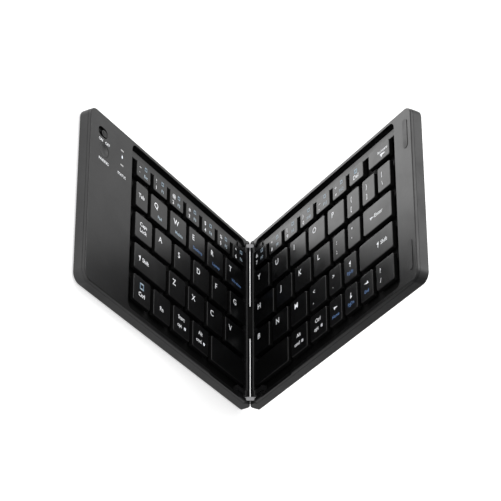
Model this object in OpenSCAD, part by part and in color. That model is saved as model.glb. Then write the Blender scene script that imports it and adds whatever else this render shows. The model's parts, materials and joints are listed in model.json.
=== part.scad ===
/* [Fold] */
// Angle by which the right half is folded up from flat
fold_angle = 117.8; // [0:0.1:180]

/* [Halves] */
// Thickness of a half, from its face to its underside
case_t = 6.7; // [6.4:0.1:9]
// Radius of the outer corners in plan
corner_r = 5; // [3.5:0.1:7]
// Rounding of the lower edges
edge_r = 0.8; // [0.4:0.1:1.6]
// Thickness of the tray floor
floor_t = 1.2; // [0.9:0.1:1.4]
// Thickness of the tray's outer side wall
side_wall = 1.7; // [1.2:0.1:2.5]

/* [Top frame] */
// Thickness of the top frame
frame_t = 1.75; // [1.6:0.05:2]
// How far the top frame is set in from the case sides
frame_inset = 0.1; // [0.05:0.05:0.4]
// Rounding of the top frame's outer edge
frame_edge_r = 0.5; // [0.2:0.1:0.9]
// Distance from the hinge pin to the far end of the finger notch in the front rim
notch_w = 36.3; // [20:0.1:60]
// Depth of the finger notch
notch_drop = 0.45; // [0.2:0.05:0.8]
// Radius of the rear arm's foot beside the hinge
arm_r = 2.6; // [1.5:0.1:3]

/* [Key well] */
// Depth of the key well below the face
well_depth = 3.5; // [3.2:0.1:3.6]
// Distance from the hinge pin to the inner side of the well
well_inner = 1.5; // [1.3:0.1:1.6]
// Distance from the well's front side to the case front
rim_front = 2.1; // [1.8:0.1:3]
// Distance from the well's rear side to the case rear
rim_rear = 1.9; // [1.8:0.1:3]
// Corner radius of the well
well_r = 3.3; // [1:0.1:4.5]
// Thickness of the wall between the well and the outer margin
skirt_t = 1.2; // [0.8:0.1:2]
// Space between the outermost caps and the well's outer side
well_space = 4.8; // [2:0.1:6]

/* [Keys] */
// Width of a letter cap's top
letter_w = 14; // [12:0.1:14.5]
// Width of a number cap's top
number_w = 11.5; // [9.5:0.1:12]
// Width of a narrow punctuation or arrow cap's top
narrow_w = 10; // [8.5:0.1:10.5]
// Width of the tab cap's top
tab_w = 9.7; // [8:0.1:11]
// Width of the backspace cap's top
backspace_w = 17; // [11:0.1:17.5]
// Width of the enter cap's top
enter_w = 23; // [20:0.1:24]
// Front to rear size of a letter cap's top
key_d = 13.5; // [11.5:0.1:13.8]
// Front to rear size of a number cap's top
number_d = 8.6; // [7.5:0.1:9.5]
// Space between cap tops in a row
key_gap = 3; // [2.6:0.1:4]
// Space between rows of cap tops
row_gap = 3.4; // [3:0.1:3.6]
// How much wider a cap is at its skirt, on each side
cap_flare = 0.35; // [0.1:0.05:0.45]
// How far the cap tops lie below the face
key_drop = 0.25; // [0.2:0.05:0.6]
// Travel of a key
key_travel = 1.2; // [0.8:0.05:1.25]
// Distance from the hinge pin to the first left cap
left_start = 3.4; // [2.5:0.1:4]
// Distance from the hinge pin to the first right cap
right_start = 2.5; // [2.1:0.1:4]
// Distance from the case rear to the number row
rear_start = 8.5; // [8.1:0.05:10]
// Distance from the case front to the front row
front_start = 8.8; // [8.6:0.05:11]

/* [Hinge] */
// Distance between the two hinge pins
pin_gap = 5.5; // [5.5:0.1:6.4]
// Depth of the pins below the face
pin_depth = 2.6; // [2.4:0.05:2.65]
// Radius of the end pins
pin_r = 0.75; // [0.6:0.05:0.9]
// Radius of the link plates' round ends
link_r = 2; // [1.7:0.05:2.1]
// Thickness of a link plate
link_t = 2; // [1.5:0.1:2.3]
// Distance from the case side to a link plate
link_end = 1.9; // [1:0.1:2.2]
// Width of the hinge blocks along the case front and rear
block_w = 9; // [8:0.1:14]
// Front to rear size of the hinge blocks
block_d = 7.2; // [6.8:0.1:7.4]
// How far the hinge blocks' tops lie below the face
block_drop = 1; // [0.6:0.1:1.5]
// Length of the short cover link at the middle
cover_l = 17.6; // [14:0.1:24]
// Radius of the cover link's round ends
cover_r = 0.9; // [0.8:0.05:1]
// Radius of the cover link's pins
cover_pin_r = 0.5; // [0.35:0.05:0.55]
// Rounding of the hinge rail's edge over the key well
rail_r = 0.9; // [0.3:0.1:1.2]

/* [Control panel] */
// Least width of the panel beside the left keys
panel_w = 34.6; // [34:0.1:50]
// Least width of the margin beside the right keys
margin_w = 13.5; // [12.5:0.1:20]
// Distance from the outer side to the middle of the slider
slider_in = 10.1; // [9:0.1:12]
// Distance from the case rear to the middle of the slider
slider_back = 10.3; // [9.5:0.1:11]
// Distance from the outer side to the middle of the round button
button_in = 11.4; // [9:0.1:13]
// Distance from the case rear to the middle of the round button
button_back = 19.5; // [18.5:0.1:22]
// Distance from the outer side to the indicator windows
window_in = 26.3; // [22:0.1:28]
// Distance from the case rear to the rear indicator window
window_back = 11.3; // [10:0.1:13]
// Distance between the indicator windows
window_pitch = 8.1; // [5:0.1:10]
// Distance from the outer side to the middle of the charging socket
port_in = 18.1; // [16:0.1:20]
// Diameter of the round button
button_dia = 7.6; // [5:0.1:8]
// Travel of the round button
button_travel = 0.4; // [0.2:0.05:0.5]
// Length of the slider's recess
slider_l = 7.5; // [7:0.1:9]
// Depth of the slider's recess
recess_depth = 1.4; // [0.8:0.1:1.5]
// Width of the slider's recess
slider_w = 5.2; // [4:0.1:6]
// Travel of the slider
slider_travel = 3; // [2:0.1:3.2]
// Length of an indicator window
window_l = 2.6; // [1.5:0.1:3]
// Width of an indicator window
window_w = 0.9; // [0.6:0.1:1.2]
// Width of the charging socket
port_w = 8.9; // [7:0.1:9.2]
// Height of the charging socket
port_h = 3; // [2.4:0.1:3]
// Depth of the charging socket
port_l = 7.2; // [6:0.1:9]

/* [Board and battery] */
// Thickness of the circuit board
board_t = 0.8; // [0.6:0.1:1]
// Distance from the case middle to the board's front edge
board_front = 9; // [6:0.5:12]
// Space between the battery and what is round it
battery_gap = 1; // [0.5:0.1:2]
// Distance from the well's front side to the battery
battery_front = 8; // [7.5:0.5:20]

/* [Feet, pads and screws] */
// Distance from the hinge pin to the inner feet
foot_in = 16; // [12:0.5:30]
// Distance from the outer side to the outer feet
foot_out = 22; // [18:0.5:25]
// Distance from the front and rear sides to the feet
foot_side = 9.5; // [8:0.5:12]
// Height of the feet below the underside
foot_h = 0.5; // [0.3:0.1:1.5]
// Radius of the feet
foot_r = 4; // [3:0.1:5]
// Length of a bumper pad
bumper_l = 15.8; // [10:0.1:22]
// Width of a bumper pad
bumper_w = 3.4; // [2:0.1:4]
// Distance from the outer side to the bumper pads
bumper_in = 4.8; // [4:0.1:6]
// Distance from the front and rear sides to the bumper pads' middles
bumper_side = 14; // [12:0.5:20]
// How far a bumper pad stands out of the face
bumper_h = 0.2; // [0.1:0.05:0.25]
// Distance from the sides to the screws
screw_in = 5.5; // [5:0.1:6]
// Distance from the well to the screws beside it
screw_well = 3.6; // [3.5:0.1:4.5]
// Distance from the case middle to the right half's middle screws
screw_mid = 14; // [8:0.5:20]
// Radius of the screws' shanks
screw_r = 0.65; // [0.5:0.05:0.8]
// Radius of the screws' heads
head_r = 1.5; // [1.2:0.1:1.8]

/* [Hidden] */
$fn = 48;

// Clearances
play = 0.05;
seat_gap = 0.1;
sweep_gap = 0.2;
butt_gap = 0.2;
plate_gap = 0.2;
press_gap = 0.15;
cut = 1;

// The rows of keys give the case its depth
case_d = front_start + number_d + 4 * (key_d + row_gap) + rear_start;

// Levels, measured from the pin: s runs outwards, t to the rear and n up through the face
face_n = pin_depth;
under_n = pin_depth - case_t;
floor_n = under_n + floor_t;
split_n = face_n - frame_t;
well_n = face_n - well_depth;
plate_t = 0.5;
membrane_t = 0.3;
membrane_n = well_n - plate_t - membrane_t;
case_f = -case_d / 2;
case_b = case_d / 2;
well_f = case_f + rim_front;
well_b = case_b - rim_rear;
butt_s = pin_gap / 2 - butt_gap / 2;
block_t = case_b - block_d;
block_n = face_n - block_drop;
butt_chamfer = 0.8;
butt_n = -0.5;
arm_s = pin_depth + plate_gap;
arm_end = arm_s + 1.8;
pin_skin = 0.4;
tail_w = cover_l - 7.6;
tail_t = 0.2;
cover_slot = 0.35;
cover_pin_in = cover_l / 2 - 3;
cover_pin_end = cover_l / 2 + 3.2;
rib_t = 1;
post_w = 1.4;
post_out = 0.6;
post_n = face_n - 0.8;

// Columns of keys: the widths of the caps in each row, from the hinge outwards
left_block = 6 * letter_w + 5 * key_gap;
number_gap = (left_block - 7 * number_w) / 6;
right_block = 5 * letter_w + 3 * narrow_w + 7 * key_gap;
upper_first_w = left_block - tab_w - 4 * letter_w - 5 * key_gap;
left_rows = [
    [for (i = [0:6]) number_w],
    [upper_first_w, letter_w, letter_w, letter_w, letter_w, tab_w],
    [for (i = [0:5]) letter_w],
    [upper_first_w, letter_w, letter_w, letter_w,
        left_block - upper_first_w - 3 * letter_w - 4 * key_gap],
    [left_block - 4 * letter_w - 4 * key_gap, letter_w, letter_w, letter_w, letter_w]
];
right_rows = [
    [for (i = [0:6]) number_w],
    [letter_w, letter_w, letter_w, letter_w, letter_w, narrow_w, narrow_w, narrow_w],
    [right_block - 3 * letter_w - 2 * narrow_w - enter_w - 6 * key_gap,
        letter_w, letter_w, letter_w, narrow_w, narrow_w, enter_w],
    [letter_w, letter_w, letter_w, letter_w, narrow_w, narrow_w,
        right_block - 4 * letter_w - 2 * narrow_w - 6 * key_gap],
    [right_block - 3 * letter_w - 3 * narrow_w - 6 * key_gap,
        letter_w, letter_w, narrow_w, narrow_w, narrow_w, letter_w]
];
left_well = left_start + left_block + well_space;
right_well = right_start + right_block + well_space;
half_w = max(left_well + panel_w, right_well + margin_w);

// Caps
cap_top_n = face_n - key_drop;
cap_h = well_depth - key_drop - key_travel - press_gap;
cap_wall = 0.8;
cap_top_t = 0.75;
cap_r = 1;
plunger_r = 1.3;
plunger_h = 0.35;
dome_r = 2.2;
dome_n = cap_top_n - cap_top_t - plunger_h - key_travel - press_gap;
scissor_n = cap_top_n - cap_top_t - key_travel - seat_gap;
scissor_gap = 0.6;
scissor_t = 1;

// Panel
slider_s = half_w - slider_in;
slider_t = case_b - slider_back;
button_s = half_w - button_in;
button_t = case_b - button_back;
window_s = half_w - window_in;
window_t = [case_b - window_back, case_b - window_back - window_pitch];
port_s = half_w - port_in;
port_n = floor_n + port_h / 2;
port_set = 0.2;
port_wall = 0.3;
board_n = floor_n + board_t;
board_gap = 0.5;
knob_l = slider_l - slider_travel - 2 * seat_gap;
knob_gap = 1;
stem_l = 1.8;
stem_w = 1.6;
switch_h = 1.8;
push_h = switch_h - 0.3;
button_flange = 0.6;
dish_r = button_dia / 2 - 0.6;
dish_h = 0.6;

// Feet and screws
foot_seat = 0.4;
foot_at = [for (s = [foot_in, half_w - foot_out]) [s, case_b - foot_side]];
pillar_r = 2.2;
pillar_n = -1;
head_h = 0.7;
left_screws = [
    for (s = [left_well + screw_well, half_w - screw_in], k = [-1, 1]) [s, k * (case_b - screw_in)]
];
right_screws = [for (t = [case_b - screw_in, screw_mid], k = [-1, 1]) [right_well + screw_well, k * t]];
bumper_s = half_w - bumper_in;
bumper_t = case_b - bumper_side;
bumper_seat = 0.6;
screw_hole_r = screw_r + 0.15;

// The frame stands on the left half's feet, centred under the folded keyboard
pin_z = foot_h - under_n;
function right_x(s, n) = pin_gap * cos(fold_angle / 2) + s * cos(fold_angle) - n * sin(fold_angle);
far_x = max(
    right_x(butt_chamfer - butt_s, under_n), right_x(-butt_s, under_n + butt_chamfer),
    right_x(half_w, 0), right_x(half_w, under_n + edge_r)
);
mid_x = (far_x - half_w) / 2;

module left_half() {
    translate([-mid_x, 0, pin_z]) mirror([1, 0, 0]) children();
}

module link_place() {
    translate([-mid_x, 0, pin_z]) rotate([0, -fold_angle / 2, 0]) children();
}

module right_half() {
    link_place() translate([pin_gap, 0, 0]) rotate([0, -fold_angle / 2, 0]) children();
}

// A box between two corners
module span(low, high) {
    translate(low) cube(high - low);
}

// A bar along the hinge, with its section drawn in s and n
module bar_along(t0, t1) {
    translate([0, t1, 0]) rotate([90, 0, 0]) linear_extrude(t1 - t0) children();
}

// A rectangle whose two corners on the outer side are round
module outer_round(x0, x1, y0, y1, r) {
    translate([x0, y0]) square([x1 - x0 - r, y1 - y0]);
    translate([x0, y0 + r]) square([x1 - x0, y1 - y0 - 2 * r]);
    for (y = [y0 + r, y1 - r]) translate([x1 - r, y]) circle(r);
}

// A rectangle with four round corners, centred
module rounded(w, d, r) {
    square([w - 2 * r, d], center = true);
    square([w, d - 2 * r], center = true);
    for (x = [r - w / 2, w / 2 - r], y = [r - d / 2, d / 2 - r]) translate([x, y]) circle(r);
}

// A slot with round ends, centred
module capsule(l, w) {
    square([l - w, w], center = true);
    for (x = [-1, 1]) translate([x * (l - w) / 2, 0]) circle(w / 2);
}

// The outer end of a slab's section, with its lower edge rounded
module edge_section(w, h, e) {
    translate([0, e]) square([w, h - e]);
    square([w - e, h]);
    translate([w - e, e]) circle(e);
}

// A slab from the hinge to the outer side, with round corners there and a rounded lower edge
module slab(x0, x1, d, h, r, e) {
    translate([x0, 0, 0]) bar_along(r - d / 2, d / 2 - r) edge_section(x1 - x0, h, e);
    for (k = [0, 1]) {
        mirror([0, k, 0]) {
            translate([x0, 0, 0]) rotate([90, 0, 90])
                linear_extrude(x1 - r - x0) edge_section(d / 2, h, e);
            translate([x1 - r, d / 2 - r, 0]) rotate_extrude() edge_section(r, h, e);
        }
    }
}

// What is cut off above the pin to leave the round hinge edge
module hinge_edge_cut() {
    bar_along(case_f - cut, case_b + cut) difference() {
        polygon([
            [-butt_s - cut, butt_n], [-butt_s, butt_n], [-pin_depth, 0], [0, 0],
            [0, pin_depth + cut], [-butt_s - cut, pin_depth + cut]
        ]);
        circle(pin_depth);
    }
}

// The space that a link with round ends sweeps in a half, from flat to closed
module sweep_section(r, low) {
    circle(r);
    translate([-butt_s - cut, -low]) square([butt_s + cut, low]);
    translate([-butt_s - cut, 0]) square([butt_s + cut + r, pin_depth + cut]);
}

// Floor plan of the well and of the tray under it
module well_plan(x1) {
    difference() {
        outer_round(well_inner, x1, well_f, well_b, well_r);
        block_plan(0);
    }
}

// What the top frame leaves open: the well, short of the rear arm's foot beside the hinge
module frame_opening(x1) {
    difference() {
        outer_round(0, x1, well_f, well_b, well_r);
        difference() {
            translate([-cut, well_b - arm_r]) square([arm_end + arm_r + cut, arm_r + cut]);
            translate([arm_end + arm_r, well_b - arm_r]) circle(arm_r);
        }
    }
}

// Floor plan of the two hinge blocks
module block_plan(gap) {
    for (k = [0, 1]) mirror([0, k]) translate([-butt_s - cut, block_t - gap])
        square([butt_s + cut + block_w + gap, block_d + cut + gap]);
}

module screw_holes(places, r, n0, n1) {
    for (p = places) translate([p.x, p.y, n0]) cylinder(h = n1 - n0, r = r);
}

// Floor, sides, pillars and ribs of a half
module tray(w, well_s, screws) {
    difference() {
        translate([0, 0, under_n]) slab(-butt_s, w, case_d, split_n - under_n, corner_r, edge_r);
        translate([0, 0, floor_n]) linear_extrude(case_t) well_plan(w - side_wall);
    }
    screw_holes(screws, pillar_r, floor_n - floor_t / 2, pillar_n);
    for (row = [0:3]) {
        y = row_rear(row) - row_depth(row) - row_gap / 2;
        span([0, y - rib_t / 2, floor_n - floor_t / 2], [well_s, y + rib_t / 2, membrane_n]);
    }
    for (y = [well_f, well_b - rib_t]) {
        span([block_w, y - seat_gap, floor_n - floor_t / 2], [well_s, y + rib_t + seat_gap, membrane_n]);
    }
}

// The hinge rail with its posts between the rows, and the raised tops and round knuckles of the blocks
module hinge_bar() {
    bar_along(-block_t, block_t) {
        translate([-butt_s, under_n]) square([butt_s + well_inner, case_t - rail_r]);
        translate([-butt_s, under_n]) square([butt_s + well_inner - rail_r, case_t]);
        translate([well_inner - rail_r, face_n - rail_r]) circle(rail_r);
    }
    for (row = [0:3]) {
        y = row_rear(row) - row_depth(row) - row_gap / 2;
        span([0, y - post_w / 2, well_n + seat_gap], [well_inner + post_out, y + post_w / 2, post_n]);
    }
    for (k = [0, 1]) mirror([0, k, 0]) {
        bar_along(block_t, case_b) circle(pin_depth);
        span([-butt_s, block_t, split_n - cut], [block_w, well_b - arm_r - seat_gap, block_n]);
    }
}

// Pockets for the links, bores for their pins, and the chamfer of the butting edge
module hinge_cuts() {
    hinge_edge_cut();
    bar_along(case_f - cut, case_b + cut) polygon([
        [-butt_s - cut, under_n - cut], [-butt_s - cut, under_n + butt_chamfer + cut],
        [butt_chamfer - butt_s + cut, under_n - cut]
    ]);
    for (k = [0, 1]) mirror([0, k, 0]) {
        bar_along(case_b - link_end - link_t - seat_gap, case_b - link_end + seat_gap)
            sweep_section(link_r + sweep_gap, link_r + sweep_gap);
        bar_along(block_t + cut, case_b - pin_skin) circle(pin_r);
        bar_along(0, cover_pin_end) circle(cover_pin_r);
    }
    bar_along(-cover_l / 2 - press_gap, cover_l / 2 + press_gap)
        sweep_section(cover_r + press_gap, -membrane_n + press_gap);
    span([0, -tail_w / 2 - seat_gap, membrane_n],
        [well_inner + cut, tail_w / 2 + seat_gap, membrane_n + membrane_t]);
}

module bottom_case(w, well_s, screws) {
    difference() {
        union() {
            tray(w, well_s, screws);
            hinge_bar();
        }
        hinge_cuts();
        screw_holes(screws, screw_hole_r, under_n - cut, pillar_n + cut);
        screw_holes(screws, head_r + seat_gap, under_n - cut, under_n + head_h + seat_gap);
        for (p = foot_at, k = [-1, 1]) translate([p.x, k * p.y, under_n - cut])
            cylinder(h = cut + foot_seat, r = foot_r);
    }
}

// The bezel: a slab with its upper edge rounded, open over the well
module top_frame(w, well_s, screws) {
    difference() {
        union() {
            difference() {
                translate([0, 0, face_n]) mirror([0, 0, 1])
                    slab(arm_s, w - frame_inset, case_d - 2 * frame_inset, frame_t,
                        corner_r - frame_inset, frame_edge_r);
                translate([0, 0, split_n - cut]) linear_extrude(case_t) frame_opening(well_s);
                span([block_w, case_f - cut, face_n - notch_drop], [notch_w, well_f + cut, face_n + cut]);
            }
            translate([0, 0, well_n]) linear_extrude(split_n - well_n + frame_t / 2) difference() {
                translate([well_s - well_r, well_f + plate_gap])
                    square([well_r + skirt_t, well_b - well_f - 2 * plate_gap]);
                well_plan(well_s);
            }
            screw_holes(screws, pillar_r, pillar_n, split_n + frame_t / 2);
        }
        screw_holes(screws, screw_r, pillar_n - cut, split_n + frame_t / 2);
    }
}

// Rows and caps
function row_depth(row) = row == 0 ? number_d : key_d;
function row_rear(row) = case_b - rear_start
    - (row == 0 ? 0 : number_d + row_gap + (row - 1) * (key_d + row_gap));
function row_space(row) = row == 0 ? number_gap : key_gap;
function cap_start(widths, i, space) = i == 0 ? 0
    : cap_start(widths, i - 1, space) + widths[i - 1] + space;

// One place of a key: s of its middle, t of its middle, width and depth
function key_place(start, rows, row, i) = [
    start + cap_start(rows[row], i, row_space(row)) + rows[row][i] / 2,
    row_rear(row) - row_depth(row) / 2,
    rows[row][i],
    row_depth(row)
];
function half_places(start, rows) = [
    for (row = [0:4]) for (i = [0:len(rows[row]) - 1]) key_place(start, rows, row, i)
];
backspace_place = [
    right_start + right_block - backspace_w / 2, row_rear(0) - number_d / 2, backspace_w, number_d
];
left_places = half_places(left_start, left_rows);
right_places = concat(half_places(right_start, right_rows), [backspace_place]);

module at_keys(places) {
    for (p = places) translate([p[0], p[1], 0]) {
        $cap_w = p[2];
        $cap_d = p[3];
        children();
    }
}

// A wedge-sided prism along Y, wide at its foot
module flared(foot_w, top_w, l, h) {
    translate([0, l / 2, 0]) rotate([90, 0, 0]) linear_extrude(l)
        polygon([[-foot_w / 2, 0], [foot_w / 2, 0], [top_w / 2, h], [-top_w / 2, h]]);
}

// A hollow cap with sloping sides and a plunger over the dome
module keycap() {
    w = $cap_w + 2 * cap_flare;
    d = $cap_d + 2 * cap_flare;
    translate([0, 0, cap_top_n - cap_h]) difference() {
        intersection() {
            linear_extrude(cap_h) rounded(w, d, cap_r);
            flared(w, $cap_w, d + cut, cap_h);
            rotate(90) flared(d, $cap_d, w + cut, cap_h);
        }
        translate([0, 0, -cut]) linear_extrude(cap_h - cap_top_t + cut)
            square([$cap_w - 2 * cap_wall, $cap_d - 2 * cap_wall], center = true);
    }
    translate([0, 0, cap_top_n - cap_top_t - plunger_h])
        cylinder(h = plunger_h + cap_top_t / 2, r = plunger_r);
}

module dome() {
    translate([0, 0, membrane_n + membrane_t]) {
        cylinder(h = dome_n - membrane_n - membrane_t, r1 = dome_r, r2 = plunger_r);
    }
}

module scissor_ring() {
    w = min($cap_w, letter_w) - 2 * (cap_wall + scissor_gap);
    d = $cap_d - 2 * (cap_wall + scissor_gap);
    translate([0, 0, well_n]) linear_extrude(scissor_n - well_n) difference() {
        square([w, d], center = true);
        square([w - 2 * scissor_t, d - 2 * scissor_t], center = true);
    }
}

module key_plate(well_s, places) {
    color("#26282c") difference() {
        translate([0, 0, well_n - plate_t]) linear_extrude(plate_t) sheet_plan(well_s);
        at_keys(places) translate([0, 0, well_n - plate_t - cut])
            cylinder(h = plate_t + 2 * cut, r = dome_r + seat_gap);
    }
}

// Outline of the plate and of the membrane, with clearance to the tray
module sheet_plan(well_s) {
    difference() {
        translate([well_inner + seat_gap, well_f + seat_gap])
            square([well_s + skirt_t - well_inner - seat_gap, well_b - well_f - 2 * seat_gap]);
        block_plan(seat_gap);
    }
}

module membrane(well_s) {
    color("#c9c2a0") translate([0, 0, membrane_n]) linear_extrude(membrane_t) {
        sheet_plan(well_s);
        translate([seat_gap, -tail_w / 2]) square([well_inner + cut, tail_w]);
    }
}

module feet() {
    color("#202020") for (p = foot_at, k = [-1, 1])
        translate([p.x, k * p.y, under_n - foot_h]) cylinder(h = foot_h + foot_seat, r = foot_r);
}

module case_screws(places) {
    color("silver") for (p = places) translate([p.x, p.y, under_n + seat_gap]) {
        cylinder(h = head_h, r = head_r);
        cylinder(h = split_n + frame_t / 2 - under_n - 2 * seat_gap, r = screw_r);
    }
}

module hinge_pins() {
    color("silver") for (k = [0, 1]) mirror([0, k, 0]) {
        bar_along(block_t + cut, case_b - pin_skin) circle(pin_r);
        bar_along(cover_pin_in, cover_pin_end) circle(cover_pin_r);
    }
}

// Left half
module left_bottom_case() {
    color("#2b2b2d") left_half() difference() {
        bottom_case(half_w, left_well, left_screws);
        translate([port_s, case_b - rim_rear - cut, port_n]) rotate([-90, 0, 0])
            linear_extrude(rim_rear + 2 * cut) capsule(port_w + 2 * seat_gap, port_h + 2 * seat_gap);
    }
}

module left_top_frame() {
    color("#38383a") left_half() difference() {
        top_frame(half_w, left_well, left_screws);
        translate([slider_s, slider_t, face_n - recess_depth]) linear_extrude(recess_depth + cut)
            capsule(slider_l, slider_w);
        translate([slider_s, slider_t, 0]) linear_extrude(face_n)
            capsule(slider_travel + stem_l + 2 * seat_gap, stem_w + 2 * seat_gap);
        translate([button_s, button_t, 0]) cylinder(h = case_t, r = button_dia / 2);
        for (t = window_t) translate([window_s, t, 0]) linear_extrude(case_t)
            capsule(window_l, window_w);
    }
}

module left_key_plate() {
    left_half() key_plate(left_well, left_places);
}

module left_membrane() {
    left_half() membrane(left_well);
}

module left_rubber_domes() {
    color("#d8d8d2") left_half() at_keys(left_places) dome();
}

module left_scissor_frames() {
    color("#e6e6e0") left_half() at_keys(left_places) scissor_ring();
}

module main_board() {
    color("darkgreen") left_half() difference() {
        translate([0, 0, floor_n]) linear_extrude(board_t) intersection() {
            outer_round(left_well, half_w - side_wall - board_gap, well_f, well_b - seat_gap, well_r);
            translate([left_well + skirt_t + play, board_front]) square([panel_w, case_d]);
        }
        screw_holes(left_screws, pillar_r + seat_gap, floor_n - cut, board_n + cut);
        span([port_s - port_w / 2, case_b - port_l - port_set, floor_n - cut],
            [port_s + port_w / 2, case_b, board_n + cut]);
    }
}

module battery() {
    color("lightsteelblue") left_half()
        span([left_well + skirt_t + battery_gap, well_f + battery_front, floor_n],
            [half_w - side_wall - battery_gap, board_front - battery_gap, split_n - battery_gap / 2]);
}

module charging_port() {
    color("silver") left_half() translate([port_s, case_b - port_set, port_n]) rotate([90, 0, 0]) {
        difference() {
            linear_extrude(port_l) capsule(port_w, port_h);
            translate([0, 0, -cut]) linear_extrude(port_l - 0.8 + cut)
                capsule(port_w - 2 * port_wall, port_h - 2 * port_wall);
        }
        translate([0, 0, 1]) linear_extrude(port_l - 1.4) square([port_w - 2.4, 0.7], center = true);
    }
}

module slide_switch() {
    color("dimgray") left_half() translate([slider_s, slider_t, board_n]) linear_extrude(switch_h)
        square([slider_l, 3.6], center = true);
}

module connect_switch() {
    color("dimgray") left_half() translate([button_s, button_t, board_n]) {
        linear_extrude(push_h - 0.3) square([4.6, 4.6], center = true);
        cylinder(h = push_h, r = 1.2);
    }
}

module indicator_light_pipes() {
    color("white", 0.7) left_half() for (t = window_t) translate([window_s, t, board_n])
        linear_extrude(face_n - board_n - play) capsule(window_l, window_w);
}

module left_feet() {
    left_half() feet();
}

module left_case_screws() {
    left_half() case_screws(left_screws);
}

module left_hinge_pins() {
    left_half() hinge_pins();
}

module power_switch_knob() {
    color("#3c3c3e") left_half() translate([slider_s - slider_travel / 2, slider_t, 0]) {
        difference() {
            translate([0, 0, face_n - recess_depth + play]) linear_extrude(recess_depth - play - seat_gap)
                capsule(knob_l, slider_w - 2 * knob_gap);
            for (i = [-1:1]) translate([i * 1.1, 0, face_n - 0.3]) linear_extrude(cut)
                square([0.4, slider_w - 2 * knob_gap - 1], center = true);
        }
        translate([0, 0, board_n + switch_h + seat_gap])
            linear_extrude(face_n - recess_depth - board_n - switch_h) capsule(stem_l, stem_w);
    }
}

module connect_button() {
    color("#3c3c3e") left_half() translate([button_s, button_t, 0]) difference() {
        union() {
            translate([0, 0, split_n - seat_gap - button_flange]) {
                cylinder(h = frame_t + button_flange, r = button_dia / 2 - press_gap);
                cylinder(h = button_flange, r = button_dia / 2 + button_flange);
            }
            translate([0, 0, board_n + push_h + button_travel + play])
                cylinder(h = split_n - board_n - push_h - button_travel - button_flange, r = 1);
        }
        dish_centre = (dish_r * dish_r - dish_h * dish_h) / (2 * dish_h);
        translate([0, 0, face_n - seat_gap + dish_centre]) sphere(dish_centre + dish_h);
    }
}

module left_keys(row, picks) {
    color("#1c1c1e") left_half()
        at_keys([for (i = picks) key_place(left_start, left_rows, row, i)]) keycap();
}

module tab_key() { left_keys(1, [5]); }
module caps_lock_key() { left_keys(2, [5]); }
module left_shift_key() { left_keys(3, [4]); }
module left_ctrl_key() { left_keys(4, [4]); }
module fn_key() { left_keys(4, [3]); }
module start_key() { left_keys(4, [2]); }
module left_alt_key() { left_keys(4, [1]); }
module left_space_key() { left_keys(4, [0]); }
module left_number_keys() { left_keys(0, [0:6]); }
module left_upper_letter_keys() { left_keys(1, [0:4]); }
module left_home_letter_keys() { left_keys(2, [0:4]); }
module left_lower_letter_keys() { left_keys(3, [0:3]); }

// Hinge links
module link_section(r, hole_r) {
    difference() {
        union() {
            for (x = [0, pin_gap]) translate([x, 0]) circle(r);
            translate([0, -r]) square([pin_gap, 2 * r]);
        }
        for (x = [0, pin_gap]) translate([x, 0]) circle(hole_r);
    }
}

module hinge_link() {
    color("#c8c8c8") bar_along(case_b - link_end - link_t, case_b - link_end)
        link_section(link_r, pin_r + play);
}

module front_hinge_link() {
    link_place() mirror([0, 1, 0]) hinge_link();
}

module rear_hinge_link() {
    link_place() hinge_link();
}

module center_hinge_cover() {
    color("#151515") link_place() difference() {
        bar_along(-cover_l / 2, cover_l / 2) link_section(cover_r, cover_pin_r + play);
        span([-cover_r - cut, -tail_w / 2, -cover_slot],
            [pin_gap + cover_r + cut, tail_w / 2, cover_slot]);
    }
}

module flex_cable() {
    color("peru") link_place()
        span([-cover_pin_r, seat_gap - tail_w / 2, -cover_slot],
            [pin_gap + cover_pin_r, tail_w / 2 - seat_gap, tail_t - cover_slot]);
}

// Right half
module right_bottom_case() {
    color("#2b2b2d") right_half() bottom_case(half_w, right_well, right_screws);
}

module right_top_frame() {
    color("#48484a") right_half() difference() {
        top_frame(half_w, right_well, right_screws);
        at_bumpers() translate([0, 0, face_n - bumper_seat]) linear_extrude(cut)
            capsule(bumper_l, bumper_w);
    }
}

module at_bumpers() {
    for (k = [-1, 1]) translate([bumper_s, k * bumper_t, 0]) rotate(90) children();
}

module right_key_plate() {
    right_half() key_plate(right_well, right_places);
}

module right_membrane() {
    right_half() membrane(right_well);
}

module right_rubber_domes() {
    color("#d8d8d2") right_half() at_keys(right_places) dome();
}

module right_scissor_frames() {
    color("#e6e6e0") right_half() at_keys(right_places) scissor_ring();
}

module right_feet() {
    right_half() feet();
}

module right_case_screws() {
    right_half() case_screws(right_screws);
}

module right_hinge_pins() {
    right_half() hinge_pins();
}

module face_bumpers() {
    color("#404042") right_half() at_bumpers() translate([0, 0, face_n - bumper_seat])
        linear_extrude(bumper_seat + bumper_h) capsule(bumper_l, bumper_w);
}

module right_keys(row, picks) {
    color("#1c1c1e") right_half()
        at_keys([for (i = picks) key_place(right_start, right_rows, row, i)]) keycap();
}

module delete_key() { right_keys(0, [6]); }
module backspace_key() { color("#1c1c1e") right_half() at_keys([backspace_place]) keycap(); }
module enter_key() { right_keys(2, [6]); }
module right_shift_key() { right_keys(3, [6]); }
module right_space_key() { right_keys(4, [0]); }
module right_alt_key() { right_keys(4, [1]); }
module right_ctrl_key() { right_keys(4, [2]); }
module arrow_up_key() { right_keys(3, [5]); }
module arrow_down_key() { right_keys(4, [4]); }
module arrow_left_key() { right_keys(4, [3]); }
module arrow_right_key() { right_keys(4, [5]); }
module slash_key() { right_keys(4, [6]); }
module right_number_keys() { right_keys(0, [0:5]); }
module right_upper_letter_keys() { right_keys(1, [0:4]); }
module right_home_letter_keys() { right_keys(2, [0:3]); }
module right_lower_letter_keys() { right_keys(3, [0:3]); }
module narrow_punctuation_keys() {
    right_keys(1, [5:7]);
    right_keys(2, [4:5]);
    right_keys(3, [4]);
}

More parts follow.
